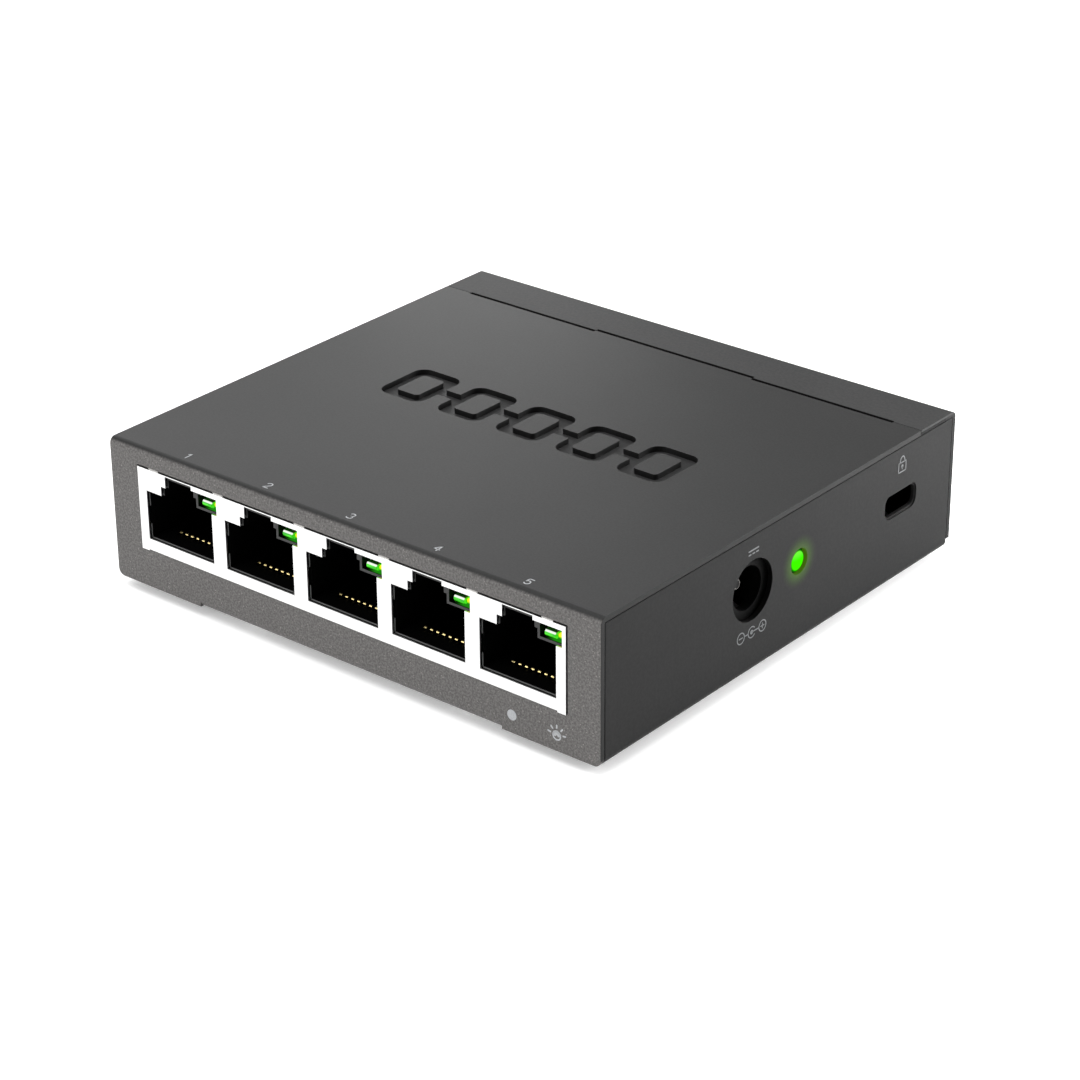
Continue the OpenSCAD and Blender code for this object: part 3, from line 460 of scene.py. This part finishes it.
def gold_wire():
    """Gold that is bright only in a painted highlight on the front of the bend, and painted dark elsewhere
    as painted shade.
    """
    f = Finish("gold_wire", roughness=0.3, metallic=1.0)
    bend_radius = 0.25 * MM
    bright_offset = 0.17 * MM
    bright_y = TAIL_LOW.y + bend_radius - bright_offset
    bright_z = TAIL_HIGH.z - bend_radius + bright_offset
    wear = f.noise(0.2 * MM, detail=2)
    # Painted highlight: gold only within 0.12 to 0.20 mm of a point on the front of the bend; elsewhere the
    # wire is painted near black as painted shade.
    bend_glint = f.ramp(f.from_axis(bright_y, bright_z), 0.12 * MM, 0.20 * MM, 1, 0)
    gold = f.mix(f.ramp(wear, 0.3, 0.7), (0.60, 0.46, 0.18), (0.72, 0.60, 0.30))
    f.colour(f.mix(bend_glint, (0.006, 0.005, 0.004), gold))
    f.rough(f.ramp(wear, 0.3, 0.7, 0.25, 0.35))
    return f.material


def tinned(name, roughness):
    """Tin or bright steel, a little cloudy."""
    f = Finish(name, roughness=roughness, metallic=1.0)
    cloud = f.noise(0.5 * MM, detail=2)
    f.colour(f.mix(f.ramp(cloud, 0.3, 0.7), (0.66, 0.66, 0.64), (0.78, 0.78, 0.76)))
    f.rough(f.ramp(cloud, 0.3, 0.7, roughness - 0.05, roughness + 0.08))
    return f.material


def port_lamp():
    """Lit green nose with a painted highlight on its upper curve and painted shade on its lower part, and
    an amber lens beside it; the body behind is dark.
    """
    f = Finish("port_lamp", roughness=0.2, specular=0.3)
    front = PORT_LAMP_LOW.y
    height = f.math("SUBTRACT", f.z, PORT_LAMP_HIGH.z - 1.36 * MM)
    streak = f.noise(0.3 * MM, detail=2, stretch=(0.3, 1, 1))
    green = f.mix(f.ramp(streak, 0.35, 0.65), (0.02, 0.50, 0.005), (0.08, 0.88, 0.02))
    # Painted shade: the nose's emission turns dark green below its middle.
    nose = f.mix(f.ramp(height, -0.40 * MM, -0.22 * MM), (0.003, 0.06, 0.002), green)
    # Painted highlight: a pale near-white band on the nose's upper curve.
    nose = f.mix(f.ramp(height, 0.16 * MM, 0.26 * MM), nose, (0.95, 1.0, 0.92))
    front_curve = f.ramp(f.y, front + 0.20 * MM, front + 0.26 * MM, 1, 0)
    behind_curve = f.mix(f.ramp(height, 0.30 * MM, 0.36 * MM), green, (0.002, 0.02, 0.001))
    nose = f.mix(front_curve, behind_curve, nose)
    amber = f.mix(f.ramp(height, -0.30 * MM, -0.05 * MM), (0.10, 0.55, 0.0), (0.90, 0.90, 0.0))
    lens = f.mix(f.math("GREATER_THAN", f.beside_port(), 5.3 * MM), nose, amber)
    before_body = f.math("LESS_THAN", f.y, front + 1.13 * MM)
    f.colour((0.004, 0.03, 0.002, 1))
    f.glow(f.mix(before_body, (0.0008, 0.008, 0.0008), lens), 0.95)
    return f.material


def power_lamp():
    """Lit green lens, with a painted highlight making it paler towards its top and painted shade making it
    dark at its rim.
    """
    f = Finish("power_lamp", roughness=0.6, specular=0.0)
    f.colour((0.001, 0.02, 0.0, 1))
    # Painted highlight: the lens is paler towards its top.
    pale = f.ramp(f.math("SUBTRACT", f.z, LAMP_Z), 0.1 * MM, 1.3 * MM)
    lit = f.mix(pale, (0.05, 1.0, 0.0), (0.18, 1.0, 0.05))
    # Painted shade: the lens turns dark beyond 1.2 to 1.4 mm off its axis, round its rim.
    rim = f.ramp(f.from_axis(LAMP_Y, LAMP_Z), 1.20 * MM, 1.40 * MM)
    f.glow(f.mix(rim, lit, (0.008, 0.16, 0.002)), 1.0)
    return f.material


def pin_metal():
    """Plated pin whose flat end and deeper shaft are painted dark as painted shade, leaving a bright bevel
    as a painted highlight.
    """
    f = Finish("pin_metal", roughness=0.35, metallic=1.0)
    cloud = f.noise(0.4 * MM, detail=2)
    plate = f.mix(f.ramp(cloud, 0.3, 0.7), (0.34, 0.33, 0.31), (0.44, 0.43, 0.41))
    # Painted shade: the pin's flat end and its shaft deeper inside are painted near black; the bright
    # plating left on the bevel is a painted highlight ring.
    flat_end_shade = f.ramp(f.from_axis(SOCKET_Y, SOCKET_Z), 0.50 * MM, 0.60 * MM, 1, 0)
    shaft_shade = f.ramp(f.x, PIN_HIGH.x - 0.52 * MM, PIN_HIGH.x - 0.45 * MM, 1, 0)
    f.colour(f.mix(f.math("MAXIMUM", flat_end_shade, shaft_shade), plate, (0.02, 0.02, 0.02)))
    return f.material


def foot_rubber():
    """Dark matt rubber."""
    f = Finish("foot_rubber", roughness=0.85, specular=0.3)
    grain = f.noise(0.3 * MM, detail=3)
    f.colour(f.mix(grain, (0.010, 0.010, 0.010), (0.025, 0.025, 0.025)))
    f.bump(grain, 0.03 * MM, 0.4)
    return f.material


def label_film():
    """Blank pale label film."""
    f = Finish("label_film", roughness=0.55)
    weave = f.noise(0.4 * MM, detail=2)
    f.colour(f.mix(weave, (0.62, 0.62, 0.60), (0.70, 0.70, 0.68)))
    f.bump(weave, 0.01 * MM, 0.2)
    return f.material


def circuit_board():
    """Green solder mask over copper tracks."""
    f = Finish("circuit_board", roughness=0.3, specular=0.5)
    wave = f.nodes.new("ShaderNodeTexWave")
    wave.inputs["Scale"].default_value = 300
    wave.inputs["Distortion"].default_value = 6
    wave.inputs["Detail Scale"].default_value = 0.4
    f.links.new(f.place, wave.inputs["Vector"])
    track = f.ramp(wave.outputs["Fac"], 0.45, 0.55)
    f.colour(f.mix(track, (0.010, 0.070, 0.025), (0.022, 0.120, 0.045)))
    f.bump(track, 0.03 * MM, 0.3)
    return f.material


def moulded(name, low, high, roughness):
    """A mottled moulded or fired surface between two shades."""
    f = Finish(name, roughness=roughness, specular=0.4)
    grain = f.noise(0.25 * MM, detail=3)
    f.colour(f.mix(f.ramp(grain, 0.3, 0.7), low, high))
    f.bump(grain, 0.02 * MM, 0.25)
    return f.material


def heat_sink_black():
    """Black anodised metal with drawn lines."""
    f = Finish("heat_sink_black", roughness=0.45, metallic=0.6)
    lines = f.noise(0.2 * MM, detail=2, stretch=(1, 0.1, 1))
    f.colour(f.mix(lines, (0.03, 0.03, 0.032), (0.06, 0.06, 0.064)))
    f.bump(lines, 0.01 * MM, 0.3)
    return f.material


def ink():
    """Pale grey silk-screen ink, slightly uneven, painted darker on the side as painted shade."""
    f = Finish("silk_screen_ink", roughness=0.6, specular=0.3)
    grain = f.noise(0.12 * MM, detail=2)
    paint = f.mix(f.ramp(grain, 0.3, 0.7), (0.30, 0.31, 0.32), (0.36, 0.37, 0.38))
    # Painted shade: the ink on the side is darkened to 42%.
    side_ink_shade = f.math("GREATER_THAN", f.x, SIDE_X - 0.1 * MM)
    f.colour(f.shade(paint, f.ramp(side_ink_shade, 0, 1, 1, 0.42)))
    f.bump(grain, 0.005 * MM, 0.2)
    return f.material


def dress(node, material):
    """Makes a material the only one on a CAD node."""
    NODES[node].data.materials.clear()
    NODES[node].data.materials.append(material)


def dress_nodes():
    """Gives every CAD node the finish of its slot, and the socket's spring and pin their own."""
    finishes = {
        "cover_paint": cover_paint(),
        "tray_paint": tray_paint(),
        "plated_steel": tinned("plated_steel", 0.35),
        "foot_rubber": foot_rubber(),
        "label_film": label_film(),
        "circuit_board": circuit_board(),
        "port_plastic": port_plastic(),
        "bright_shield": bright_shield(),
        "gold_wire": gold_wire(),
        "tinned_lead": tinned("tinned_lead", 0.25),
        "port_lamp": port_lamp(),
        "socket_plastic": black_plastic("socket_plastic", 0.5),
        "power_lamp": power_lamp(),
        "chip_package": moulded("chip_package", (0.010, 0.010, 0.011), (0.020, 0.020, 0.021), 0.6),
        "thermal_rubber": moulded("thermal_rubber", (0.17, 0.24, 0.28), (0.22, 0.30, 0.34), 0.8),
        "heat_sink_black": heat_sink_black(),
        "crystal_can": tinned("crystal_can", 0.28),
        "capacitor_sleeve": moulded("capacitor_sleeve", (0.010, 0.012, 0.020), (0.016, 0.018, 0.030), 0.3),
        "inductor_ferrite": moulded("inductor_ferrite", (0.040, 0.040, 0.042), (0.070, 0.070, 0.072), 0.75),
        "capacitor_ceramic": moulded("capacitor_ceramic", (0.30, 0.20, 0.11), (0.38, 0.26, 0.15), 0.4),
        "resistor_ceramic": moulded("resistor_ceramic", (0.012, 0.012, 0.012), (0.022, 0.022, 0.022), 0.35),
    }
    for part in frame["record"]["subparts"]:
        dress(part["node"], finishes[part["material_slot"]])
    spring = moulded("leaf_spring", (0.010, 0.010, 0.010), (0.018, 0.018, 0.017), 0.5)
    dress("dc_jack_leaf_spring", spring)
    dress("dc_jack_pin", pin_metal())


# ---- printed marks ----

INK_HEIGHT = 0.012 * MM
INK_SINK = 0.004 * MM


def arc(cx, cy, rx, ry, start, end, steps=16):
    """Points on an ellipse: (cx + rx cos a, cy + ry sin a), a running from start to end in degrees."""
    a = np.radians(np.linspace(start, end, steps))
    return np.column_stack([cx + rx * np.cos(a), cy + ry * np.sin(a)])


def line(*points):
    """A straight or broken line through the points."""
    return np.array(points, float)


def stroke(points, width):
    """An ink line with round ends: the path, widened by half its width on both sides of its normal.

    Beyond each end the path runs on by w sin(t) while the half width falls as w cos(t).
    """
    half = width / 2
    t = np.radians([75, 50, 25])
    first = (points[0] - points[1]) / np.linalg.norm(points[0] - points[1])
    last = (points[-1] - points[-2]) / np.linalg.norm(points[-1] - points[-2])
    head = points[0] + np.outer(np.sin(t), first) * half
    tail = points[-1] + np.outer(np.sin(t[::-1]), last) * half
    path = np.concatenate([head, points, tail])
    widths = np.concatenate([np.cos(t), np.ones(len(points)), np.cos(t[::-1])]) * half
    return path, widths, False


def ring(cx, cy, radius, width, steps=40):
    """A closed round ink line of the given middle radius."""
    points = arc(cx, cy, radius, radius, 0, 360, steps + 1)[:-1]
    return points, np.full(steps, width / 2), True


def dot(cx, cy, radius):
    """A filled disc: a ring whose inner edge all but closes at the middle."""
    return ring(cx, cy, radius * 0.505, radius * 0.99)


def film(path, widths, closed):
    """Vertices (u, v, h) and faces of a flat ink film.

    The path plus and minus its sideways normal times the half width gives the film's two edges, each once
    at the top and once at the bottom. So every step of the path has four corners.
    """
    if closed:
        ahead, behind = np.roll(path, -1, 0), np.roll(path, 1, 0)
        along = ahead - behind
    else:
        along = np.gradient(path, axis=0)
    along /= np.linalg.norm(along, axis=1)[:, None]
    side = np.column_stack([-along[:, 1], along[:, 0]]) * widths[:, None]
    left, right = path + side, path - side
    count = len(path)
    top, bottom = np.full(count, INK_HEIGHT), np.full(count, -INK_SINK)
    rows = [(left, top), (right, top), (right, bottom), (left, bottom)]
    verts = np.stack([np.column_stack([flat, height]) for flat, height in rows], axis=1).reshape(-1, 3)
    i, k = np.meshgrid(np.arange(count if closed else count - 1), np.arange(4), indexing="ij")
    j, m = (i + 1) % count, (k + 1) % 4
    faces = np.stack([i * 4 + k, j * 4 + k, j * 4 + m, i * 4 + m], axis=-1).reshape(-1, 4).tolist()
    if not closed:
        faces += [[3, 2, 1, 0], [count * 4 - 4, count * 4 - 3, count * 4 - 2, count * 4 - 1]]
    return verts, faces


def print_mark(name, strokes, origin, across, up, material):
    """One printed mark: every stroke's film laid on the plane through origin with axes across and up."""
    out = np.cross(across, up)
    axes = np.array([across, up, out], float)
    verts, faces, start = [], [], 0
    for path, widths, closed in strokes:
        flat, quads = film(path, widths, closed)
        verts.append(flat @ axes + np.array(origin))
        faces += [[start + corner for corner in quad] for quad in quads]
        start += len(flat)
    mesh = bpy.data.meshes.new(name)
    mesh.from_pydata(np.concatenate(verts).tolist(), [], faces)
    mesh.materials.append(material)
    mesh.update()
    piece = bpy.data.objects.new(name, mesh)
    bpy.context.scene.collection.objects.link(piece)
    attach(piece, "case")
    turn_outwards(mesh)


def turn_outwards(mesh):
    """Makes the faces of closed films point outwards."""
    work = bmesh.new()
    work.from_mesh(mesh)
    bmesh.ops.recalc_face_normals(work, faces=work.faces)
    work.to_mesh(mesh)
    work.free()


def digit(n):
    """Strokes of a numeral in a box one unit high, centred on the origin."""
    shapes = {
        1: [line((-0.20, 0.30), (0.06, 0.50)), line((0.06, 0.50), (0.06, -0.50))],
        2: [
            np.concatenate([arc(0, 0.22, 0.30, 0.28, 165, -35), line((-0.30, -0.50))]),
            line((-0.30, -0.50), (0.34, -0.50)),
        ],
        3: [arc(-0.04, 0.25, 0.28, 0.25, 150, -90), arc(-0.04, -0.24, 0.32, 0.26, 90, -150)],
        4: [
            line((0.16, -0.50), (0.16, 0.50)),
            line((0.16, 0.50), (-0.34, -0.20)),
            line((-0.34, -0.20), (0.36, -0.20)),
        ],
        5: [
            line((0.30, 0.50), (-0.20, 0.50)),
            line((-0.20, 0.50), (-0.25, 0.08)),
            arc(0.0, -0.18, 0.30, 0.32, 145, -145),
        ],
    }
    return shapes[n]


def add_port_numbers(material):
    """The port numbers on the top, behind the front fold."""
    height = 1.3 * MM
    strokes = []
    for n in PORTS:
        for points in digit(n):
            strokes.append(stroke(points * height + np.array([PORT_X[n], 0]), 0.13 * height))
    origin = (0, FRONT_Y + 2.2 * MM, TOP_Z)
    print_mark("port_numbers", strokes, origin, (1, 0, 0), (0, 1, 0), material)


def add_lamp_key(material):
    """Two generic signs under the ports: a steady lamp and a blinking lamp."""
    steady_x = 27.3 * MM
    blink_x = 34.3 * MM
    bulb_z = -0.35 * MM
    radius = 0.58 * MM
    steady = [dot(steady_x, 0, 0.72 * MM)]
    blink = [ring(blink_x, bulb_z, radius, 0.2 * MM)]
    blink.append(stroke(arc(blink_x, bulb_z, radius * 0.55, radius * 0.5, 20, 160), 0.5 * MM))
    for angle in (10, 50, 90, 130, 170):
        ray = np.array([math.cos(math.radians(angle)), math.sin(math.radians(angle))])
        start = np.array([blink_x, -0.3 * MM])
        blink.append(stroke(line(start + ray * 1.0 * MM, start + ray * 1.35 * MM), 0.22 * MM))
    origin = (0, FRONT_Y, BASE_Z + 2.5 * MM)
    print_mark("steady_lamp_mark", steady, origin, (1, 0, 0), (0, 0, 1), material)
    print_mark("blinking_lamp_mark", blink, origin, (1, 0, 0), (0, 0, 1), material)


def add_socket_marks(material):
    """Direct current sign above the power socket, and centre positive sign below it."""
    width = 0.2 * MM
    above = 5.4 * MM
    gap = 0.25 * MM
    high = above + gap
    low = above - gap
    dash = 0.2 * MM
    current = [stroke(line((-1.0 * MM, high), (1.0 * MM, high)), width)]
    for x in (-0.78 * MM, 0.0, 0.78 * MM):
        current.append(stroke(line((x - dash, low), (x + dash, low)), width))
    origin = (SIDE_X, SOCKET_Y, SOCKET_Z)
    print_mark("direct_current_mark", current, origin, (0, 1, 0), (0, 0, 1), material)
    below = -5.9 * MM
    step = 2.3 * MM
    radius = 0.75 * MM
    thin = 0.15 * MM
    arm = 0.35 * MM
    polarity = [ring(-step, below, radius, thin), ring(step, below, radius, thin)]
    polarity.append(stroke(arc(0, below, radius, radius, 40, 320), thin))
    polarity.append(dot(0, below, 0.3 * MM))
    polarity.append(stroke(line((-step + radius, below), (-radius, below)), thin))
    polarity.append(stroke(line((0, below), (step - radius, below)), thin))
    polarity.append(stroke(line((-step - arm, below), (-step + arm, below)), thin))
    polarity.append(stroke(line((step - arm, below), (step + arm, below)), thin))
    polarity.append(stroke(line((step, below - arm), (step, below + arm)), thin))
    print_mark("centre_positive_mark", polarity, origin, (0, 1, 0), (0, 0, 1), material)


def add_padlock_mark(material):
    """A small padlock above the lock slot."""
    middle = 25.5 * MM
    low = BASE_Z + 15.75 * MM
    half = 0.85 * MM
    tall = 1.35 * MM
    thin = 0.17 * MM
    shape = [
        stroke(line((-half, low), (half, low)), thin),
        stroke(line((-half, low + tall), (half, low + tall)), thin),
        stroke(line((-half, low), (-half, low + tall)), thin),
        stroke(line((half, low), (half, low + tall)), thin),
        stroke(arc(0, low + tall, 0.55 * MM, 0.85 * MM, 0, 180), thin),
        dot(0, low + 0.78 * MM, 0.24 * MM),
        stroke(line((0, low + 0.7 * MM), (0, low + 0.4 * MM)), thin),
    ]
    print_mark("padlock_mark", shape, (SIDE_X, middle, 0), (0, 1, 0), (0, 0, 1), material)


def add_marks():
    """Every printed mark, in one ink."""
    material = ink()
    add_port_numbers(material)
    add_lamp_key(material)
    add_socket_marks(material)
    add_padlock_mark(material)


add_camera()
add_studio()
add_floor()
dress_nodes()
add_marks()
